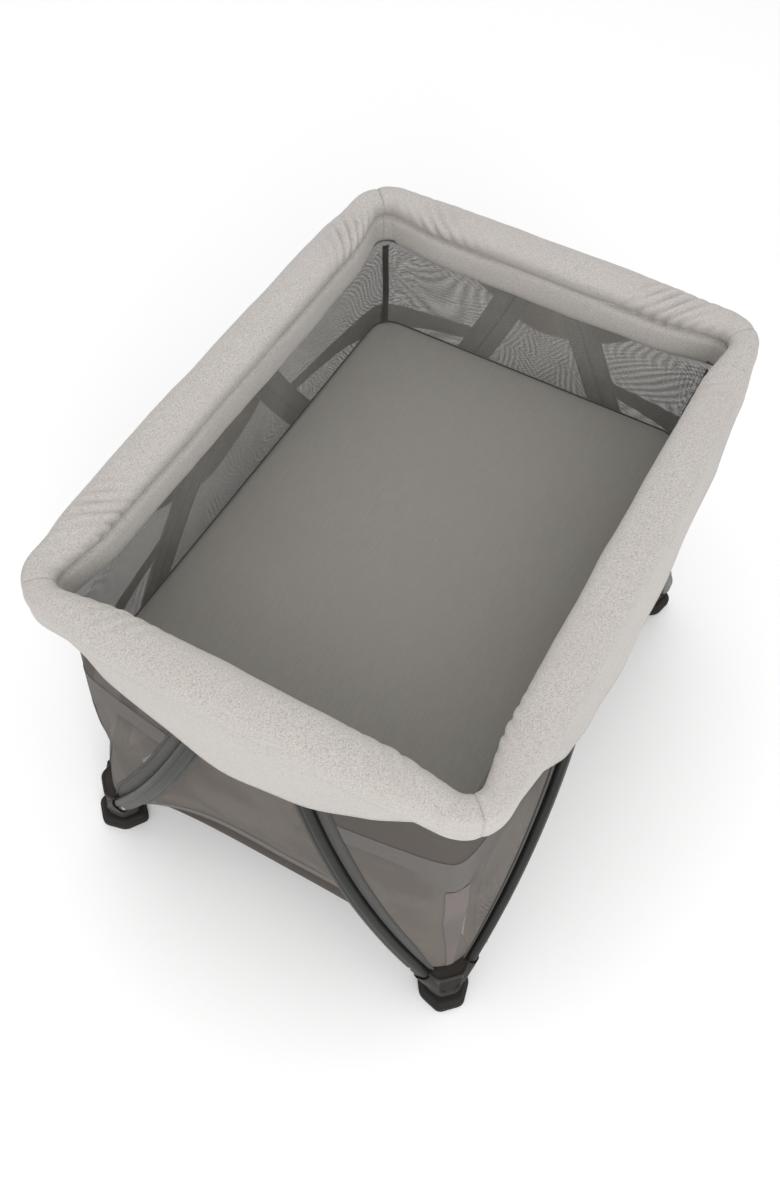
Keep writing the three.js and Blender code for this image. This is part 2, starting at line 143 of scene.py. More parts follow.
class Look:
    """A finish being built: its nodes and its Principled shader."""

    def __init__(self, name, slot, roughness=0.9, metallic=0.0, **fixed):
        self.material = bpy.data.materials.new(name)
        self.material.use_nodes = True
        self.tree = self.material.node_tree
        self.shader = self.tree.nodes["Principled BSDF"]
        self.shader.inputs["Roughness"].default_value = roughness
        self.shader.inputs["Metallic"].default_value = metallic
        for socket, value in fixed.items():
            self.shader.inputs[socket.replace("_", " ")].default_value = value
        self.coordinates = self.tree.nodes.new("ShaderNodeTexCoord")

    def node(self, kind, settings, sockets, output=0):
        """A node of one type: its settings first, then the values and links of its sockets."""
        node = self.tree.nodes.new("ShaderNode" + kind)
        for setting, value in settings.items():
            setattr(node, setting, value)
        for place, value in sockets.items():
            if isinstance(value, Sock):
                self.tree.links.new(value.socket, node.inputs[place])
            else:
                node.inputs[place].default_value = value
        return Sock(self, node.outputs[output])

    def scaled(self, output, scale):
        place = Sock(self, self.coordinates.outputs[output])
        return self.node("Mapping", {}, {"Scale": scale, "Vector": place})

    def noise(self, scale, stretch=(1, 1, 1), detail=2.0, rough=0.5):
        return self.node("TexNoise", {}, {
            "Scale": scale, "Detail": detail, "Roughness": rough, "Vector": self.scaled("Object", stretch)})

    def height(self):
        place = Sock(self, self.coordinates.outputs["Object"])
        return self.node("SeparateXYZ", {}, {0: place}, 2)

    def uv(self, pitch):
        """Two sockets that run from 0 up by 2 pi every pitch metres across and along the cloth."""
        turns = 2 * pi / pitch
        apart = self.node("SeparateXYZ", {}, {0: self.scaled("UV", (turns, turns, 1))})
        return apart, Sock(self, apart.socket.node.outputs[1])

    def colours(self, amount, first, second):
        ends = [value if isinstance(value, Sock) else (*value, 1) for value in (first, second)]
        return self.node("Mix", {"data_type": "RGBA"}, {"Factor": amount, 6: ends[0], 7: ends[1]}, 2)

    def set(self, socket, value):
        self.tree.links.new(value.socket, self.shader.inputs[socket])

    def bump(self, height, distance, strength=1.0):
        self.set("Normal", self.node("Bump", {}, {"Distance": distance, "Strength": strength, "Height": height},
                                     "Normal"))


def srgb(*levels):
    """Screen levels, 0 to 255, as the linear colour of a shader."""
    return tuple(((level / 255 + 0.055) / 1.055) ** 2.4 for level in levels)


def painted_tube():
    look = Look("frame_paint", "frame_tube", roughness=0.42, metallic=0.12, Specular_IOR_Level=0.32)
    cloudy = look.noise(14, detail=2).ramp(0.35, 0.7)
    look.set("Base Color", look.colours(cloudy, srgb(34, 35, 31), srgb(28, 29, 26)))
    flake = look.noise(1600, detail=1)
    look.set("Roughness", flake.ramp(0.3, 0.7, 0.34, 0.48))
    look.bump(flake, 0.00008, 0.4)
    return look.material


def bright_steel():
    look = Look("rivet_steel", "frame_tube", roughness=0.25, metallic=1.0)
    brushed = look.noise(800, detail=2)
    look.set("Base Color", look.colours(brushed.ramp(0.3, 0.7), srgb(205, 205, 203), srgb(170, 170, 168)))
    look.set("Roughness", brushed.ramp(0.3, 0.7, 0.2, 0.35))
    return look.material


TUBE = painted_tube()
STEEL = bright_steel()


def new_piece(name, bm, *materials, smooth=True):
    mesh = bpy.data.meshes.new(name)
    bm.to_mesh(mesh)
    bm.free()
    piece = bpy.data.objects.new(name, mesh)
    bpy.context.scene.collection.objects.link(piece)
    for material in materials:
        mesh.materials.append(material)
    for polygon in mesh.polygons:
        polygon.use_smooth = smooth and len(polygon.vertices) <= 4
    return piece


def surface(name, rows, *materials, loop=False, caps=False):
    """A quad sheet through rows of points. loop joins each row's ends. UVs are metres along the cloth."""
    bm = bmesh.new()
    layer = bm.loops.layers.uv.new("UVMap")
    grid = [[bm.verts.new(point) for point in row] for row in rows]
    middle = len(rows[0]) // 2
    down = [0.0]
    for before, after in zip(rows, rows[1:]):
        down.append(down[-1] + (Vector(after[middle]) - Vector(before[middle])).length)
    for i, (row, following) in enumerate(zip(grid, grid[1:])):
        across = 0.0
        count = len(row) if loop else len(row) - 1
        for j in range(count):
            k = (j + 1) % len(row)
            step = (Vector(rows[i][k]) - Vector(rows[i][j])).length
            face = bm.faces.new((row[j], row[k], following[k], following[j]))
            far = across + step
            corners = ((across, down[i]), (far, down[i]), (far, down[i + 1]), (across, down[i + 1]))
            for corner, uv in zip(face.loops, corners):
                corner[layer].uv = uv
            across = far
    if caps:
        bm.faces.new(list(reversed(grid[0])))
        bm.faces.new(grid[-1])
    bmesh.ops.recalc_face_normals(bm, faces=bm.faces)
    return new_piece(name, bm, *materials)


def leg_point(side, end, t):
    """Centre of a leg in its side's own frame: along, outward, up. t is 0 at the foot and 1 at the hub."""
    bulge = 4 * t * (1 - t)
    along = side.foot_along + (side.leg_pin - side.foot_along) * t - side.sag * bulge
    out = side.foot_out + (side.leg_top_out - side.foot_out) * t + side.leg_bow * bulge
    return end * along, out, LEG_LOW + (LEG_HIGH - LEG_LOW) * t


def leg_frame(side, end, t):
    """Centre, in-plane direction towards the corner, and outward direction, in the row frame."""
    here = side.world(*leg_point(side, end, t))
    ahead = side.world(*leg_point(side, end, t + 0.01))
    tangent = (ahead - here).normalized()
    outward = side.turn @ Vector((0, -1, 0))
    across = outward.cross(tangent).normalized()
    if across.dot(side.turn @ Vector((end, 0, 0))) < 0:
        across = -across
    facing = outward - tangent * outward.dot(tangent)
    return here, across, facing.normalized()


TUBE_END = 9 * MM         # radius of the flat oval's two round ends
TUBE_HALF_FLAT = 5 * MM   # half the flat between them
RIVET_AT = 0.105          # up the leg, as a part of its length


def oval_end(side_sign):
    """Half a circle of the tube's section: the end towards the corner, 1, or away from it, -1."""
    start = -side_sign * pi / 2
    angles = [start + pi * k / 12 for k in range(13)]
    return [(side_sign * TUBE_HALF_FLAT + TUBE_END * cos(a), TUBE_END * sin(a)) for a in angles]


def leg_section():
    """Flat oval, 28 by 18 mm, with a fine groove along its outer face."""
    groove = [(0.0042, 0.009), (0.0034, 0.0077), (0.0022, 0.0077), (0.0014, 0.009), (-0.0030, 0.009)]
    return oval_end(1) + groove + oval_end(-1)


def dome(name, centre, up, radius, height, material):
    bm = bmesh.new()
    bmesh.ops.create_uvsphere(bm, u_segments=20, v_segments=10, radius=1.0)
    turn = up.to_track_quat("Z", "Y").to_matrix().to_4x4()
    size = Matrix.Diagonal((radius, radius, height, 1))
    bmesh.ops.transform(bm, matrix=Matrix.Translation(centre) @ turn @ size, verts=bm.verts)
    return new_piece(name, bm, material)


def make_leg(side, end):
    rows = []
    for i in range(65):
        here, across, facing = leg_frame(side, end, -0.014 + 1.028 * i / 64)
        rows.append([here + across * a + facing * b for a, b in leg_section()])
    leg = surface(f"{side.leg(end)}_tube", rows, TUBE, loop=True, caps=True)
    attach(leg, side.leg(end))
    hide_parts(side.leg(end))
    here, across, facing = leg_frame(side, end, RIVET_AT)
    rivet = dome(f"{side.leg(end)}_rivet", here + facing * 0.0088 - across * 0.003, facing, 0.0034, 0.0018, STEEL)
    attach(rivet, side.leg(end))


for side in SIDES:
    for end in (-1, 1):
        make_leg(side, end)


# ---- Feet -----------------------------------------------------------------------------------------------
# Four feet moulded in dark plastic, wider at the top, with a V-shaped recess in the outer face and a collar
# round each of the two legs, on a splayed rubber sole. Two small screw heads show low in the recess. The
# recess's floor and the screw heads are painted darker, as painted shade in the recess.
FOOT_X = 455 * MM
FOOT_Y = 325 * MM
SOLE = [(46, -22), (46, 22), (10, 44), (-34, 36), (-34, -36), (10, -44)]
BODY = [(38, -20), (38, 20), (10, 42), (-30, 34), (-30, -34), (10, -42)]


def smoothstep(low, high, value):
    t = min(max((value - low) / (high - low), 0.0), 1.0)
    return t * t * (3 - 2 * t)


def moulded(name, colour, shade, roughness, slot="moulded_plastic", grain=900):
    look = Look(name, slot, roughness=roughness, Specular_IOR_Level=0.22)
    cloudy = look.noise(22, detail=3).ramp(0.35, 0.7)
    look.set("Base Color", look.colours(cloudy, colour, shade))
    fine = look.noise(grain, detail=2)
    look.set("Roughness", fine.ramp(0.3, 0.7, roughness - 0.07, roughness + 0.1))
    look.bump(fine, 0.0002, 0.5)
    return look.material


PLASTIC = moulded("dark_plastic", srgb(52, 48, 45), srgb(45, 42, 39), 0.55)
RUBBER = moulded("sole_rubber", srgb(40, 38, 35), srgb(35, 33, 31), 0.8, "rubber_sole", grain=500)
# Painted shade: the recess's floor and its screw heads get this darker plastic.
RECESS_SHADE = moulded("recess_painted_shade", srgb(33, 31, 28), srgb(28, 26, 24), 0.62)


def rounded_outline(points, radius, steps=6):
    """A closed outline with each corner rounded, as points in order."""
    out = []
    count = len(points)
    for i in range(count):
        before, here, after = (Vector(points[(i + k - 1) % count]) for k in range(3))
        a = here + (before - here).normalized() * radius
        b = here + (after - here).normalized() * radius
        for k in range(steps + 1):
            t = k / steps
            out.append(a * (1 - t) ** 2 + here * 2 * t * (1 - t) + b * t * t)
    return out


def resampled(outline, count):
    """The same closed outline as `count` evenly spaced points."""
    lengths = [0.0]
    for a, b in zip(outline, outline[1:] + outline[:1]):
        lengths.append(lengths[-1] + (b - a).length)
    out = []
    k = 0
    for i in range(count):
        target = lengths[-1] * i / count
        while lengths[k + 1] < target:
            k += 1
        share = (target - lengths[k]) / max(lengths[k + 1] - lengths[k], 1e-9)
        out.append(outline[k].lerp(outline[(k + 1) % len(outline)], share))
    return out


def foot_place(corner, u, v, z):
    """u outward along the corner's diagonal, v across it."""
    sx, sy = CORNERS[corner]
    return Vector((sx * (FOOT_X + (u - v) / sqrt(2)), sy * (FOOT_Y + (u + v) / sqrt(2)), z))


def loft(name, corner, outline, levels, material, recess=None):
    """Rings of one outline at several heights: (z, scale, shift outward)."""
    ring = resampled([p * MM for p in rounded_outline(outline, 9)], 96)
    rows = []
    for z, scale, shift in levels:
        row = []
        for p in ring:
            u, v = p.x * scale + shift, p.y * scale
            if recess:
                u -= recess(u, v, z)
            row.append(foot_place(corner, u, v, z))
        rows.append(row)
    return surface(name, rows, material, loop=True, caps=True)


def chevron(u, v, z):
    """Depth of the V-shaped panel pressed into the foot's outer face."""
    if u < 0.012:
        return 0.0
    top = smoothstep(0.108, 0.105, z)
    low = 0.050 + 1.3 * max(0.0, abs(v) - 0.007)
    inside = smoothstep(low, low + 0.004, z) * smoothstep(0.0195, 0.0165, abs(v))
    return 0.0045 * top * inside


def darken_recess(body, corner):
    """Gives the floor of the pressed panel a rougher plastic, painted darker as shade in the recess."""
    sx, sy = CORNERS[corner]
    body.data.materials.append(RECESS_SHADE)
    for face in body.data.polygons:
        x, y, z = face.center
        du, dv = sx * x - FOOT_X, sy * y - FOOT_Y
        if chevron((du + dv) / sqrt(2), (dv - du) / sqrt(2), z) > 0.0025:
            face.material_index = 1


def foot_levels():
    levels = [(0.0275, 0.66, 0.002), (0.0285, 0.755, 0.001), (0.032, 0.77, 0.001)]
    for i in range(1, 34):
        t = i / 33
        lean = -0.015 * smoothstep(0.25, 1.0, t)
        levels.append((0.032 + 0.078 * t, 0.77 + 0.34 * t ** 1.3, 0.001 + lean))
    levels += [(0.1125, 1.10, -0.014), (0.1145, 1.08, -0.014), (0.116, 1.03, -0.014), (0.1125, 0.97, -0.014)]
    return levels


def sole_levels():
    return [(0.0, 0.93, 0), (0.0012, 0.975, 0), (0.004, 1.0, 0), (0.013, 1.0, 0), (0.017, 0.985, 0),
            (0.0185, 0.95, 0), (0.019, 0.93, 0), (0.0205, 0.925, 0), (0.0255, 0.87, 0), (0.0262, 0.80, 0)]


def socket_collar(side, end):
    """The lip round a leg where it enters its foot, with a dark gap inside."""
    rows = []
    for t, grow in ((-0.004, 0.003), (0.012, 0.0034), (0.044, 0.0036), (0.053, 0.0034), (0.055, 0.0028),
                    (0.0545, 0.0018), (0.046, 0.0012), (0.01, 0.0012)):
        here, across, facing = leg_frame(side, end, t)
        row = []
        for a, b in oval_end(1) + oval_end(-1):
            length = hypot(a, b)
            row.append(here + across * (a + grow * a / length) + facing * (b + grow * b / length))
        rows.append(row)
    return surface(f"foot_socket_{side.name}_{side.ends[end]}", rows, PLASTIC, loop=True)


def side_pair(corner):
    """The long and short side that meet at a corner, each with the end that it meets there."""
    found = []
    for side in SIDES:
        for end in (-1, 1):
            if side.corner(end) == corner:
                found.append((side, end))
    return sorted(found, key=lambda pair: not pair[0].long)


def make_foot(corner):
    body = loft(f"foot_body_{corner}", corner, BODY, foot_levels(), PLASTIC, chevron)
    darken_recess(body, corner)
    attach(body, f"foot_{corner}")
    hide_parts(f"foot_{corner}")
    sole = loft(f"foot_sole_{corner}", corner, SOLE, sole_levels(), RUBBER)
    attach(sole, f"foot_{corner}")
    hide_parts(f"foot_pad_{corner}")
    for side, end in side_pair(corner):
        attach(socket_collar(side, end), f"foot_{corner}")
    # The screw heads take the recess's painted shade.
    for v in (-0.0065, 0.0065):
        spot = foot_place(corner, 0.0305, v, 0.047)
        up = foot_place(corner, 1, 0, 0) - foot_place(corner, 0, 0, 0)
        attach(dome(f"foot_screw_{corner}_{'a' if v < 0 else 'b'}", spot, up, 0.0022, 0.0012, RECESS_SHADE),
                f"foot_{corner}")


for corner in CORNERS:
    make_foot(corner)


# ---- Leg sleeves ------------------------------------------------------------------------------------------
# A strip of dark woven cloth behind each leg, sewn to the netting, with a corded piping along the edge
# towards the corner. It narrows into the foot.
SLEEVE_IN = -24 * MM
SLEEVE_OUT = 34 * MM
SHELL_BEHIND = 9.8 * MM   # the cloth lies this far behind a leg's middle
SLEEVE_FROM = 0.055       # the sleeve's ends, as parts of a leg's length
SLEEVE_LENGTH = 0.905


def plain_weave(name, colour, shade, slot="shell_fabric"):
    look = Look(name, slot, roughness=0.88, Sheen_Weight=0.25, Specular_IOR_Level=0.3)
    broad = look.noise(7, detail=3).ramp(0.35, 0.68)
    fine = look.noise(420, (1, 1, 0.4), detail=2).ramp(0.3, 0.7)
    look.set("Base Color", look.colours(broad * 0.6 + fine * 0.3, colour, shade))
    along, across = look.uv(1.2 * MM)
    look.bump(along.sine() * across.sine(), 0.0004, 0.7)
    return look.material


SLEEVE = plain_weave("sleeve_fabric", srgb(54, 51, 47), srgb(47, 44, 41))
BINDING = plain_weave("dark_binding", srgb(42, 40, 37), srgb(36, 34, 32))


def thicken(piece, thickness, offset=-1.0, inner_material=0):
    modifier = piece.modifiers.new("thickness", "SOLIDIFY")
    modifier.thickness = thickness
    modifier.offset = offset
    modifier.material_offset = inner_material
    return piece


def tube_along(name, points, radius, material, sides=8):
    """A round cord of piping or binding along a list of points."""
    rows = []
    for i, point in enumerate(points):
        ahead = points[min(i + 1, len(points) - 1)] - points[max(i - 1, 0)]
        tangent = ahead.normalized()
        across = tangent.cross(Vector((0.31, 0.17, 0.93))).normalized()
        up = across.cross(tangent)
        ring = [2 * pi * k / sides for k in range(sides)]
        rows.append([point + radius * (cos(a) * across + sin(a) * up) for a in ring])
    return surface(name, rows, material, loop=True, caps=True)


def face_outward(piece, side):
    outward = side.turn @ Vector((0, -1, 0))
    total = sum((p.normal.dot(outward) * p.area for p in piece.data.polygons), 0.0)
    if total < 0:
        piece.data.flip_normals()


def sleeve_point(side, end, t, shift):
    here, across, facing = leg_frame(side, end, t)
    narrow = smoothstep(-0.02, 0.22, t)
    return here + across * shift * (0.35 + 0.65 * narrow) - facing * SHELL_BEHIND


def make_sleeve(side, end):
    rows = []
    for i in range(49):
        t = SLEEVE_FROM + SLEEVE_LENGTH * i / 48
        row = []
        for j in range(9):
            shift = SLEEVE_IN + (SLEEVE_OUT - SLEEVE_IN) * j / 8
            lift = 0.0025 * sin(pi * j / 8)
            row.append(sleeve_point(side, end, t, shift) + leg_frame(side, end, t)[2] * lift)
        rows.append(row)
    sleeve = surface(f"sleeve_{side.name}_{side.ends[end]}", rows, SLEEVE)
    face_outward(sleeve, side)
    thicken(sleeve, 0.0016)
    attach(sleeve, side.leg(end))
    edge = [sleeve_point(side, end, 0.06 + 0.89 * i / 60, SLEEVE_OUT) for i in range(61)]
    piping = tube_along(f"piping_{side.name}_{side.ends[end]}", edge, 0.0021, BINDING)
    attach(piping, side.leg(end))


for side in SIDES:
    for end in (-1, 1):
        make_sleeve(side, end)


# ---- Corner netting, its tape and a sheet of painted shade ----------------------------------------------------
# Knitted netting stretched round each corner between two legs and gathered into the foot, with a ribbon of
# tape up its middle from the foot, and a dark sheet just outside it by the insert's base: painted shade,
# standing for the insert's dark base seen through the netting and the shade below it.
NET_LOW = 0.076           # the netting's foot and top, as parts of a leg's length
NET_TOP = 0.955
TAPE_TOP = 0.54
# Lower edge, its dip mid-corner, and top of the sheet of painted shade, as parts of a leg's length.
SHADE_SHEET_EDGE = 0.64
SHADE_SHEET_DIP = 0.10
SHADE_SHEET_TOP = 0.700


def open_mesh(name, colour, shade, pitch, closed, above=None):
    """Knitted netting: rows of holes, with the yarn between them left opaque, and painted shade higher up if above is
    given.
    """
    look = Look(name, "mesh_fabric", roughness=0.8, Specular_IOR_Level=0.35)
    along, across = look.uv(pitch)
    web = (along + across).math("COSINE") + (along - across).math("COSINE")
    look.set("Alpha", web.ramp(closed, closed + 0.5, 1.0, 0.0))
    broad = look.noise(11, detail=2).ramp(0.4, 0.65)
    tone = look.colours(broad, colour, shade)
    # Painted shade: the netting turns to the darker above colour over its upper part.
    if above:
        tone = look.colours(look.height().ramp(0.44, 0.50), tone, above)
    look.set("Base Color", tone)
    look.bump(web * -1, 0.0005, 0.6)
    return look.material


# The corner netting is painted darker from about the insert's base up, as shade.
SHELL_MESH = open_mesh("shell_mesh", srgb(120, 114, 107), srgb(110, 104, 98), 2.3 * MM, 0.7,
                       above=srgb(96, 90, 85))
CORNER_TAPE = plain_weave("corner_tape", srgb(98, 86, 84), srgb(89, 77, 76))
# Dark cloth of the insert's base; the same cloth makes the sheet of painted shade on the corner netting.
INSERT_CLOTH_AND_SHADE = plain_weave("insert_cloth_and_shade", srgb(84, 78, 73), srgb(75, 70, 66))


def kite_curve(corner, t, count, inset=0.0):
    """Points round a corner at leg parameter t, from the long side's sleeve edge to the short side's."""
    (long, a), (short, b) = side_pair(corner)
    sx, sy = CORNERS[corner]
    start = sleeve_point(long, a, t, SLEEVE_OUT)
    finish = sleeve_point(short, b, t, SLEEVE_OUT)
    spread = smoothstep(0.28, 0.72, t)
    cx = FOOT_X + 0.012 - 0.004 * spread
    cy = FOOT_Y + 0.012 - 0.014 * spread
    peak = Vector((sx * cx, sy * cy, (start.z + finish.z) / 2))
    points = []
    weight = 0.8 + 7.4 * spread
    for k in range(count + 1):
        u = k / count
        w0, w1, w2 = (1 - u) ** 2, 2 * weight * u * (1 - u), u * u
        point = (start * w0 + peak * w1 + finish * w2) / (w0 + w1 + w2)
        sag = Vector((-sx, -sy, 0)).normalized() * inset
        points.append(point + sag)
    return points


def make_kite(corner):
    rows = [kite_curve(corner, NET_LOW + (NET_TOP - NET_LOW) * i / 60, 40) for i in range(61)]
    kite = surface(f"shell_net_{corner}", rows, SHELL_MESH)
    tape_rows = []
    for i in range(41):
        curve = kite_curve(corner, NET_LOW + (TAPE_TOP - NET_LOW) * i / 40, 160, inset=-0.0012)
        half = 0.007 + 0.013 * smoothstep(0.0, 0.6, i / 40)
        near = [k for k, point in enumerate(curve) if (point - curve[80]).length < half]
        first, last = near[0], near[-1]
        tape_rows.append([curve[round(first + (last - first) * k / 8)] for k in range(9)])
    tape = surface(f"shell_tape_{corner}", tape_rows, CORNER_TAPE)
    # A dark sheet just outside the netting, with a curved lower edge: painted shade over the insert's dark base seen
    # through the netting and the shade below it.
    shade_sheet_rows = []
    for i in range(21):
        row = []
        for k in range(41):
            low_edge = SHADE_SHEET_EDGE - SHADE_SHEET_DIP * sin(pi * k / 40) ** 1.2
            row.append(kite_curve(corner, low_edge + (SHADE_SHEET_TOP - low_edge) * i / 20, 40, inset=-0.0008)[k])
        shade_sheet_rows.append(row)
    shade_sheet = surface(f"net_shade_sheet_{corner}", shade_sheet_rows, INSERT_CLOTH_AND_SHADE)
    for piece in (kite, tape, shade_sheet):
        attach(piece, f"foot_{corner}")
        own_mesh(piece)
        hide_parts(f"shell_corner_{corner}")


for corner in CORNERS:
    make_kite(corner)


# ---- Side panels ------------------------------------------------------------------------------------------
# Between the legs of each side a closer netting, bellied a little inwards below, is sewn to a band of shell
# cloth that hangs over the edge of the floor. Both ride on the side's hub.
RAIL_Z = 699 * MM
FLOOR_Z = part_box("yard_floor")[1][2]
PANEL_TOP = 655 * MM
PANEL_MESH = open_mesh("panel_mesh", srgb(116, 109, 103), srgb(105, 99, 93), 2.3 * MM, 0.95)
SHELL_FABRIC = plain_weave("shell_fabric", srgb(106, 99, 94), srgb(95, 89, 84))


def gather_sideways(piece, side):
    """Rides on the side's hub."""
    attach(piece, side.hub())
    tuple(side.world(0, side.reach, RAIL_Z))
    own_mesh(piece)


def panel_point(side, z, u):
    """u runs from one leg's sleeve to the other's across the middle of a side."""
    t = (z - LEG_LOW) / (LEG_HIGH - LEG_LOW)
    left = side.turn.inverted() @ sleeve_point(side, -1, t, SLEEVE_IN)
    right = side.turn.inverted() @ sleeve_point(side, 1, t, SLEEVE_IN)
    x = left.x + (right.x - left.x) * u
    edge_out = -(left.y + right.y) / 2
    low = smoothstep(0.55, 0.0, t)
    middle_out = edge_out + (side.panel_low - 0.004 + 0.03 * t - edge_out) * low
    fullness = 1 - (2 * u - 1) ** 4
    out = edge_out + (middle_out - edge_out) * fullness
    wave = 0.0022 * noise.noise((x * 7, z * 9, side.reach * 5)) * fullness
    return side.world(x, out + wave, left.z + (right.z - left.z) * u)


def make_panel(side):
    hem_z, band_z = FLOOR_Z + 0.004, FLOOR_Z + 0.040
    rows = [[panel_point(side, band_z + (PANEL_TOP - band_z) * i / 40, j / 60) for j in range(61)] for i in range(41)]
    net = surface(f"shell_panel_{side.name}_net", rows, PANEL_MESH)
    rows = []
    for i in range(9):
        drop = 1 - i / 8
        row = []
        for j in range(61):
            point = panel_point(side, hem_z + (band_z - hem_z) * i / 8, j / 60)
            row.append(point - Vector((0, 0, 0.010 * drop * sin(pi * j / 60))))
        rows.append(row)
    band = surface(f"shell_panel_{side.name}_hem", rows, SHELL_FABRIC)
    thicken(band, 0.0018, offset=0)
    for piece in (net, band):
        gather_sideways(piece, side)
        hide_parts(f"shell_panel_{side.name}")


for side in SIDES:
    make_panel(side)


# ---- Yard floor -----------------------------------------------------------------------------------------------
# Doubled shell cloth stretched between the feet, cut in four quarters that each ride on one floor arm.
def make_floor():
    """The yard's fabric floor in four quarters, each on one floor arm."""
    x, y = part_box("yard_floor")[1][:2]
    x, y = x + 0.010, y + 0.012
    for corner, (sx, sy) in CORNERS.items():
        rows = []
        for i in range(25):
            row = []
            for j in range(25):
                u, v = i / 24, j / 24
                px = (x + 0.028 * v ** 4) * u
                py = (y + 0.032 * u ** 4) * v
                sag = 0.010 * sin(pi * min(hypot(u - 0.5, v - 0.5), 0.5) * 2) * 0.3
                row.append(Vector((sx * px, sy * py, FLOOR_Z - 0.001 - sag)))
            rows.append(row)
        quarter = surface(f"yard_floor_{corner}", rows, SHELL_FABRIC)
        thicken(quarter, 0.002, offset=0)
        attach(quarter, f"floor_arm_{corner}")
        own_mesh(quarter)
        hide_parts("yard_floor")


make_floor()


# ---- Rail pads --------------------------------------------------------------------------------------------
# Foam rolls in heathered cloth, sewn round the top rails: a fat roll outside, a stitched channel, and a
# flatter strip inside, mitred at the corners. They come in two lengths to a side that tuck into each other.
CORNER_RADIUS = 50 * MM
# The pad's section in mm, outward and up from the rail.
PAD_SECTION = [(-34, 9), (-38, 18), (-36, 32), (-21, 41), (3, 43), (23, 38), (32, 26), (31, 12), (25, 1), (19, -10),
               (13, -22), (3, -33), (-10, -41), (-24, -46), (-36, -44), (-41, -30), (-40, -10), (-37, 4)]
SIDE_BOW = 5 * MM
BRACKET_COVER = 19 * MM   # the roll draws in no further than this, over the corner bracket's clevis
TUCK = 12 * MM            # a pad's lengths run this far into each other
SLIM_SHARE = 0.36         # how much of its outer half the roll loses at a corner
SLIM_FROM = 150 * MM      # from the side's end, where it begins to draw in
SLIM_TO = 30 * MM
CREASE_PITCH = 25 * MM
CREASES_FROM_CORNER = 135 * MM
CREASES_SPREAD = 70 * MM
STITCH_HEIGHT = 9 * MM


def melange(name, light, mid, dark):
    """Heathered cloth: fine yarns of two close tones, short dark dashes, and a faint broad warmth."""
    look = Look(name, "rail_fabric", roughness=0.92, Sheen_Weight=0.25, Sheen_Roughness=0.5,
                Specular_IOR_Level=0.2)
    yarn = look.noise(900, (0.6, 0.6, 1), detail=2, rough=0.6)
    tone = look.colours(yarn.ramp(0.35, 0.65), mid, light)
    dashes = look.noise(1050, (0.45, 0.45, 1.0), detail=3, rough=0.7).ramp(0.46, 0.66)
    flecked = look.colours(dashes * 0.6, tone, dark)
    broad = look.noise(7, detail=1).ramp(0.40, 0.66)
    look.set("Base Color", look.colours(broad * 0.28, flecked, mid))
    along, across = look.uv(1.6 * MM)
    look.bump(along.sine() * across.sine() * 0.5 + yarn, 0.0004, 0.55)
    return look.material


RAIL_FABRIC = melange("rail_melange", srgb(193, 189, 184), srgb(177, 171, 166), srgb(126, 121, 117))


def spline(points, steps):
    """A closed smooth loop through 2-D points, `steps` samples to each stretch."""
    count = len(points)
    out = []
    for i in range(count):
        p = [Vector(points[(i + k - 1) % count]) for k in range(4)]
        for j in range(steps):
            t = j / steps
            a = 2 * p[1]
            b = (p[2] - p[0]) * t
            c = (2 * p[0] - 5 * p[1] + 4 * p[2] - p[3]) * t * t
            d = (3 * p[1] - p[0] - 3 * p[2] + p[3]) * t ** 3
            out.append(0.5 * (a + b + c + d))
    return out


PAD_LOOP = [point * MM for point in spline(PAD_SECTION, 3)]


def rail_place(side, s):
    """Centre and outward direction of the rail at s along the side, bent round the corners to the mitre."""
    straight = side.span - CORNER_RADIUS
    end = 1 if s > 0 else -1
    if abs(s) <= straight:
        bow = SIDE_BOW * (cos(pi * s / (2 * side.span)) - 0.25)
        return Vector((s, -side.reach - bow)), Vector((0, -1))
    angle = (abs(s) - straight) / CORNER_RADIUS
    outward = Vector((end * sin(angle), -cos(angle)))
    bow = SIDE_BOW * (cos(pi * straight / (2 * side.span)) - 0.25)
    centre = Vector((end * straight, -side.reach + CORNER_RADIUS - bow))
    return centre + outward * CORNER_RADIUS, outward


def pad_wrinkle(side, s, spot):
    """Narrow diagonal creases near the corners, and a faint unevenness all along."""
    to_corner = side.span - abs(s)
    gather = exp(-((to_corner - CREASES_FROM_CORNER) / CREASES_SPREAD) ** 2) * smoothstep(0.034, -0.010, spot.x)
    gather *= smoothstep(-0.004, 0.016, spot.y) * side.creased
    slant = abs(s) - 0.8 * spot.x - 0.6 * spot.y
    drift = 3.0 * noise.noise((s * 9, 6.3 * side.reach, side.turn[0][1] * 3.1))
    crease = (0.5 + 0.5 * cos(2 * pi * slant / CREASE_PITCH + drift)) ** 2.6
    broad = noise.noise((s * 7, spot.x * 9, spot.y * 9 + 4.1 * side.reach))
    fine = noise.noise((s * 24, spot.x * 20, spot.y * 20))
    depth = 0.0066 + 0.0050 * noise.noise((s * 17, 2.9, side.span * 5))
    return 0.0010 * gather - depth * gather * crease + 0.0022 * broad + 0.0008 * fine


def channel(side, s, spot):
    """Depth of the stitched line between the roll and the inner strip, shallow where the hub stands behind."""
    beside = smoothstep(side.leg_pin + 0.045, side.leg_pin + 0.085, abs(s))
    line = exp(-((spot.y - STITCH_HEIGHT) / 0.0055) ** 2) * (spot.x < -0.02)
    return (0.0012 + 0.0068 * beside) * line


def slimming(side, s):
    """The outer face draws in towards the corners."""
    return 1 - SLIM_SHARE * smoothstep(side.span - SLIM_FROM, side.span - SLIM_TO, abs(s))


def mitre_of(side):
    """How far along a side its pads run, round half of the corner's bend."""
    return side.span - CORNER_RADIUS + CORNER_RADIUS * pi / 4


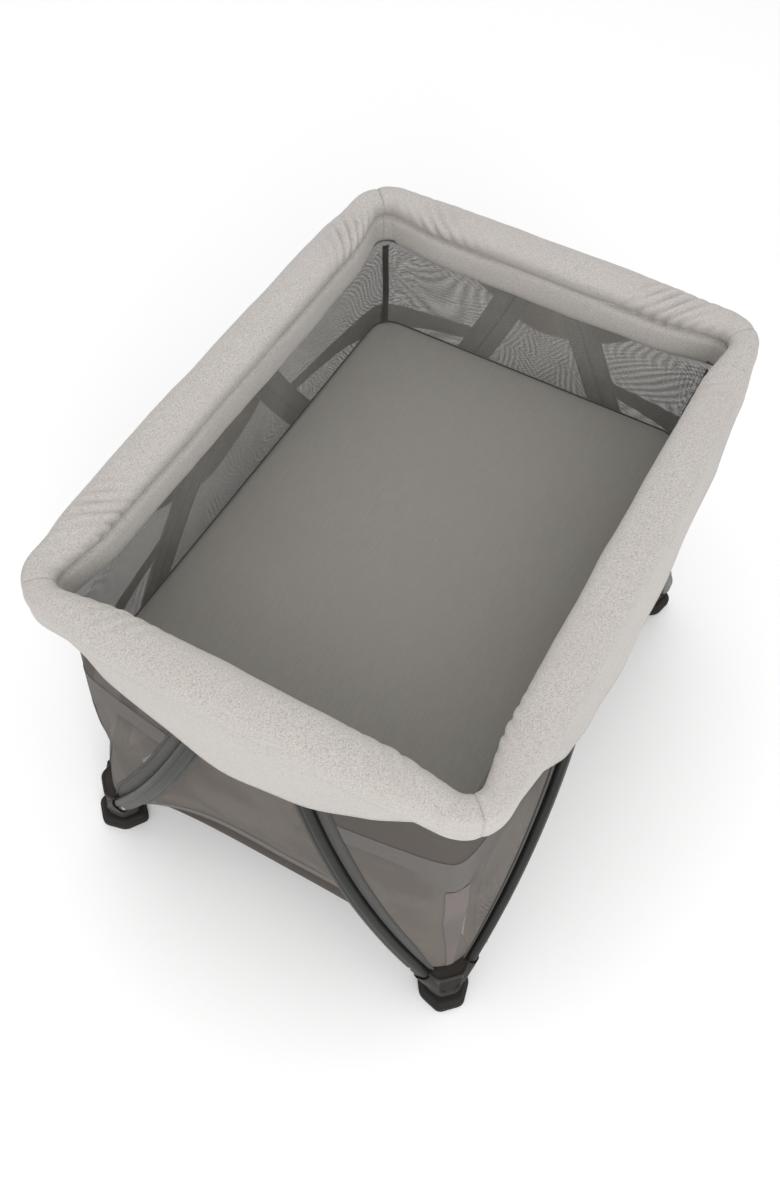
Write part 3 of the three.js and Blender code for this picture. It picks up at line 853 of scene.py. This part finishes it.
def pad_rows(side, s0, s1, steps):
    mitre = mitre_of(side)
    rows = []
    for i in range(steps + 1):
        s = s0 + (s1 - s0) * i / steps
        centre, outward = rail_place(side, s)
        seam = 0.0020 * exp(-(((mitre - abs(s)) / 0.0035) ** 2))
        inside = 0.0022 * smoothstep(0.7 * TUCK, 0.0, abs(s - s0))
        slim = slimming(side, s)
        row = []
        for spot in PAD_LOOP:
            swell = pad_wrinkle(side, s, spot) - seam - channel(side, s, spot) - inside
            normal = spot.normalized()
            x = spot.x + normal.x * swell
            z = spot.y + normal.y * swell
            x -= (-centre.y - side.reach) * smoothstep(0.0, -0.03, spot.x) * (abs(s) < side.span - CORNER_RADIUS)
            x = max(x * slim, min(x, BRACKET_COVER))
            flat = centre + outward * x
            row.append(side.turn @ Vector((flat.x, flat.y, RAIL_Z + z)))
        rows.append(row)
    return rows


def make_pads(side):
    mitre = mitre_of(side)
    joint = side.span - side.bracket_arm
    for end in (-1, 1):
        stop = joint if side.long else mitre
        rows = pad_rows(side, -end * TUCK, end * stop, 110 if side.long else 100)
        pad = surface(f"pad_{side.name}_{side.ends[end]}", rows, RAIL_FABRIC, loop=True, caps=True)
        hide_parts(f"rail_pad_{side.name}")
        start = side.world(end * (side.rail_pin - 0.035), side.reach, RAIL_Z)
        finish = side.world(end * (side.rail_pin + 0.035), side.reach, RAIL_Z)
        side.hub()
        side.rail(end)
        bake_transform(pad)
        if side.long:
            rows = pad_rows(side, end * (joint - TUCK), end * mitre, 44)
            bend = surface(f"pad_corner_{side.corner(end)}", rows, RAIL_FABRIC, loop=True, caps=True)
            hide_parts(f"rail_pad_{side.name}")
            side.rail(end)
            f"corner_bracket_{side.corner(end)}"
            tuple(side.world(end * joint, side.reach, RAIL_Z))
            tuple(side.world(end * (joint + 0.04), side.reach, RAIL_Z))
            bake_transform(bend)


for side in SIDES:
    make_pads(side)


# ---- Skirts -----------------------------------------------------------------------------------------------
# A scallop of the same heathered cloth, lined, hangs outside each side from the roll's crest. It is deepest
# in the middle of the side, where it hides the hub, and its edge is turned over a thin cord.
SKIRT_TOP = RAIL_Z + 22 * MM
HIGH_HEM = RAIL_Z - 16 * MM   # where the hem meets the roll near a corner
LINING = plain_weave("skirt_lining", srgb(84, 74, 72), srgb(75, 66, 64), "rail_fabric")


def hem_dip(side, x):
    """0 where the skirt's hem meets the roll near a corner, 1 at its lowest, mid-side."""
    return (0.5 + 0.5 * cos(pi * min(abs(x) / side.hem_half, 1.0))) ** 0.8


def skirt_point(side, x, t):
    """t runs from the roll's outer crest, 0, to the hem, 1."""
    centre, _ = rail_place(side, x)
    dip = hem_dip(side, x)
    z = SKIRT_TOP + (HIGH_HEM + (side.hem - HIGH_HEM) * dip - SKIRT_TOP) * t
    ends = smoothstep(0.12, 0.0, dip)
    out_top = -centre.y + 0.0335 * slimming(side, x) - 0.004 * ends
    low_out = -centre.y + 0.010 * slimming(side, x)
    low_out += (side.hem_out - low_out) * smoothstep(0.0, 0.35, dip) - 0.004 * ends
    belly = 0.004 * sin(pi * t) * dip
    out = out_top + (low_out - out_top) * smoothstep(0.0, 1.15, t) + belly
    out -= 0.0030 * max(0.0, 1 - t * 9)
    ripple = 0.0018 * sin(x * 38 + 3 * t) * t + 0.0022 * noise.noise((x * 8, t * 2.2, side.reach * 9))
    return side.world(x, out + ripple * dip, z)


def make_skirt(side):
    half = side.hem_half
    columns = 110
    rows = []
    for i in range(25):
        rows.append([skirt_point(side, -half + 2 * half * j / columns, i / 24) for j in range(columns + 1)])
    skirt = surface(f"skirt_{side.name}_cloth", rows, RAIL_FABRIC, LINING)
    face_outward(skirt, side)
    thicken(skirt, 0.0022, offset=-1, inner_material=1)
    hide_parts(f"skirt_{side.name}")
    hem = [skirt_point(side, -half + 2 * half * j / columns, 1.0) for j in range(columns + 1)]
    inward = side.turn @ Vector((0, 1, 0))
    cord = tube_along(f"skirt_hem_{side.name}", [p + inward * 0.0012 for p in hem], 0.0022, RAIL_FABRIC, sides=8)
    for piece in (skirt, cord):
        gather_sideways(piece, side)


for side in SIDES:
    make_skirt(side)


# ---- Bassinet insert --------------------------------------------------------------------------------------
# A lift-out tray that hangs inside the pads: pale netting walls, a cloth base with rounded edges, and a dark
# binding up each corner. The walls lean in a little to the mattress.
MATTRESS_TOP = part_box("mattress")[1][2]
INSERT_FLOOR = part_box("bassinet_insert")[0][2]
BINDING_HALF = 5.5 * MM
INSERT_MESH = open_mesh("insert_mesh", srgb(168, 165, 158), srgb(156, 153, 147), 2.7 * MM, -0.35)


def rounded_loop(x, y, radius, count):
    corners = [(x, y), (-x, y), (-x, -y), (x, -y)]
    return resampled([p for p in rounded_outline(corners, radius, 10)], count)


def wall_radius(t):
    """The wall's corner: tight under the pads at the top, t = 0, and wide at the mattress, t = 1."""
    return 0.010 + 0.032 * smoothstep(0.0, 0.7, t)


def wall_half(t):
    """The wall's half length and half width, from its top, t = 0, to the mattress, t = 1."""
    return 0.4430 - 0.0130 * t, 0.3050 - 0.0045 * t


def make_insert():
    count = 240
    top_z, knee_z = RAIL_Z - 0.040, MATTRESS_TOP - 0.010
    rows = []
    for i in range(25):
        t = i / 24
        z = top_z + (knee_z - top_z) * t
        x, y = wall_half(t)
        loop_points = rounded_loop(x, y, wall_radius(t), count)
        row = []
        for p in loop_points:
            middle = max(1 - abs(p.x) / x, 1 - abs(p.y) / y)
            pull = 0.006 * sin(pi * t) * smoothstep(0.05, 0.5, middle)
            ripple = 0.0015 * noise.noise((p.x * 9, p.y * 9, z * 8))
            away = Vector((p.x, p.y)).normalized() * (ripple - pull)
            row.append(Vector((p.x + away.x, p.y + away.y, z)))
        rows.append(row)
    wall = surface("insert_wall", rows, INSERT_MESH, loop=True)
    base_rows = []
    for z, grow, radius in ((MATTRESS_TOP - 0.008, 0.0, 0.042), (MATTRESS_TOP - 0.020, 0.001, 0.044),
                            (INSERT_FLOOR + 0.012, -0.001, 0.05), (INSERT_FLOOR + 0.003, -0.008, 0.06),
                            (INSERT_FLOOR + 0.001, -0.020, 0.07), (INSERT_FLOOR + 0.0008, -0.08, 0.07),
                            (INSERT_FLOOR + 0.0005, -0.16, 0.06), (INSERT_FLOOR + 0.0005, -0.25, 0.03)):
        base_rows.append([Vector((p.x, p.y, z)) for p in rounded_loop(0.4303 + grow, 0.3008 + grow, radius, count)])
    base = surface("insert_base", base_rows, INSERT_CLOTH_AND_SHADE, loop=True)
    cap = bmesh.new()
    cap.from_mesh(base.data)
    hole = [e for e in cap.edges if e.is_boundary and e.verts[0].co.z < INSERT_FLOOR + 0.0007]
    bmesh.ops.contextual_create(cap, geom=hole)
    cap.to_mesh(base.data)
    cap.free()
    thicken(base, 0.0025, offset=0)
    strips = []
    for corner, (sx, sy) in CORNERS.items():
        rows = []
        for i in range(21):
            t = i / 20
            z = top_z + 0.004 + (knee_z - top_z) * t
            cut = wall_radius(t) * (1 - sqrt(0.5)) * 1.12 + 0.0015
            x, y = wall_half(t)
            middle = Vector((sx * (x - cut), sy * (y - cut), z))
            across = Vector((-sy, sx, 0)).normalized()
            inward = Vector((-sx, -sy, 0)).normalized()
            rows.append([middle + across * (BINDING_HALF * a) + inward * (0.0012 + 0.0008 * (1 - a * a))
                         for a in (-1, -0.6, 0, 0.6, 1)])
        strips.append(thicken(surface(f"insert_binding_{corner}", rows, BINDING), 0.0016, offset=0))
    for piece in (wall, base, *strips):
        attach(piece, "bassinet_insert")
        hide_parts("bassinet_insert")


make_insert()


# ---- Mattress ---------------------------------------------------------------------------------------------
# A thin pad in a fitted jersey cover, slightly crowned, with a fine piping round its edge. It lies in the
# insert and lifts out.
MATTRESS_CORNER = 42 * MM


def jersey():
    """Fine knit of the mattress cover, with faint slubs along its courses."""
    look = Look("mattress_jersey", "mattress_fabric", roughness=0.9, Sheen_Weight=0.2, Specular_IOR_Level=0.25)
    slubs = look.noise(120, (0.25, 3.0, 1), detail=4, rough=0.7).ramp(0.35, 0.68)
    grain = look.noise(700, detail=2).ramp(0.3, 0.7)
    broad = look.noise(4, detail=2).ramp(0.35, 0.68)
    tone = look.colours(slubs * 0.5 + grain * 0.35, srgb(145, 142, 136), srgb(133, 130, 124))
    look.set("Base Color", look.colours(broad * 0.35, tone, srgb(138, 134, 128)))
    along, across = look.uv(1.1 * MM)
    look.bump(along.sine() * across.sine() + slubs, 0.0004, 0.6)
    return look.material


JERSEY = jersey()


def flat_uv(piece):
    layer = piece.data.uv_layers.active.data
    for loop_item in piece.data.loops:
        spot = piece.data.vertices[loop_item.vertex_index].co
        layer[loop_item.index].uv = (spot.x, spot.y)


def make_mattress():
    x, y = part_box("mattress")[1][:2]
    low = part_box("mattress")[0][2]
    count = 256
    rows = []
    profile = [(low, -0.012), (low + 0.001, -0.005), (low + 0.004, -0.001), (low + 0.010, 0.0045),
               (MATTRESS_TOP - 0.010, 0.0050), (MATTRESS_TOP - 0.0055, 0.0040), (MATTRESS_TOP - 0.0025, 0.0010),
               (MATTRESS_TOP - 0.0008, -0.0040), (MATTRESS_TOP, -0.012)]
    for z, grow in profile:
        rows.append([Vector((p.x, p.y, z)) for p in rounded_loop(x + grow, y + grow, MATTRESS_CORNER, count)])
    for i in range(1, 30):
        inner = i / 30
        row = []
        for p in rounded_loop(x - 0.012, y - 0.012, MATTRESS_CORNER, count):
            q = p * (1 - inner)
            crown = 0.0035 * smoothstep(0, 0.5, inner) + 0.0012 * noise.noise((q.x * 5, q.y * 5, 3.3))
            row.append(Vector((q.x, q.y, MATTRESS_TOP + crown)))
        rows.append(row)
    pad = surface("mattress_pad", rows, JERSEY, loop=True, caps=True)
    flat_uv(pad)
    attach(pad, "mattress")
    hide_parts("mattress")
    outline = rounded_loop(x + 0.0045, y + 0.0045, MATTRESS_CORNER, 200)
    edge = [Vector((p.x, p.y, MATTRESS_TOP - 0.0075)) for p in outline]
    piping = tube_along("mattress_piping", edge + edge[:1], 0.0009, SHELL_FABRIC)
    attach(piping, "mattress")


make_mattress()


# ---- Hubs, rails, brackets and arms -------------------------------------------------------------------------
# The frame's own parts, mostly hidden: rails and floor arms are painted tube, and the hubs, brackets and pull
# handle are moulded plastic. Nodes that a piece above stands for get a finish too, though they don't show.
for name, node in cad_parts.items():
    finish = PLASTIC
    if name.startswith(("rail_", "floor_arm", "leg_")) and not name.startswith("rail_pad"):
        finish = TUBE
    node.data.materials.clear()
    node.data.materials.append(finish)


# ---- Studio: floor, lights and camera -------------------------------------------------------------------------
# A plain white floor, one broad light at the front left, two weaker ones, and an even white sky.
def make_stage():
    bm = bmesh.new()
    bmesh.ops.create_grid(bm, x_segments=1, y_segments=1, size=12)
    mesh = bpy.data.meshes.new("studio_floor")
    bm.to_mesh(mesh)
    bm.free()
    floor = bpy.data.objects.new("studio_floor", mesh)
    bpy.context.scene.collection.objects.link(floor)
    material = bpy.data.materials.new("studio_floor")
    material.use_nodes = True
    shader = material.node_tree.nodes["Principled BSDF"]
    shader.inputs["Base Color"].default_value = (0.97, 0.97, 0.97, 1)
    shader.inputs["Roughness"].default_value = 0.95
    mesh.materials.append(material)


def add_area(name, place, aim, size, power):
    light = bpy.data.lights.new(name, "AREA")
    light.shape = "SQUARE"
    light.size = size
    light.energy = power
    lamp = bpy.data.objects.new(name, light)
    bpy.context.scene.collection.objects.link(lamp)
    lamp.location = place
    lamp.rotation_euler = (Vector(aim) - Vector(place)).to_track_quat("-Z", "Y").to_euler()


def make_camera():
    """Above the front left corner, looking down at the middle of the yard."""
    camera = bpy.data.cameras.new("camera")
    camera.sensor_width = 36
    camera.lens = 35.94
    seen = bpy.data.objects.new("camera", camera)
    bpy.context.scene.collection.objects.link(seen)
    yaw, pitch, roll = radians(63.4175), radians(55.6065), radians(2.855)
    forward = Vector((cos(pitch) * sin(yaw), cos(pitch) * cos(yaw), -sin(pitch)))
    right = forward.cross(Vector((0, 0, 1))).normalized()
    up = right.cross(forward)
    tilted_right = right * cos(roll) + up * sin(roll)
    tilted_up = up * cos(roll) - right * sin(roll)
    turn = Matrix((tilted_right, tilted_up, -forward)).transposed().to_4x4()
    seen.matrix_world = Matrix.Translation((-1.0537, -0.48936, 2.03761)) @ turn
    bpy.context.scene.camera = seen


make_stage()
add_area("top", (0, 0, 3.6), (0, 0, 0.4), 2.6, 20)
add_area("key", (-3.2, -2.0, 2.6), (0, 0, 0.5), 2.6, 85)
add_area("fill", (2.4, 1.8, 2.8), (0, 0, 0.4), 3.5, 12)
world = bpy.data.worlds.new("studio")
world.use_nodes = True
world.node_tree.nodes["Background"].inputs["Color"].default_value = (1, 1, 1, 1)
world.node_tree.nodes["Background"].inputs["Strength"].default_value = 0.82
bpy.context.scene.world = world
bpy.context.scene.view_settings.view_transform = "Standard"
make_camera()
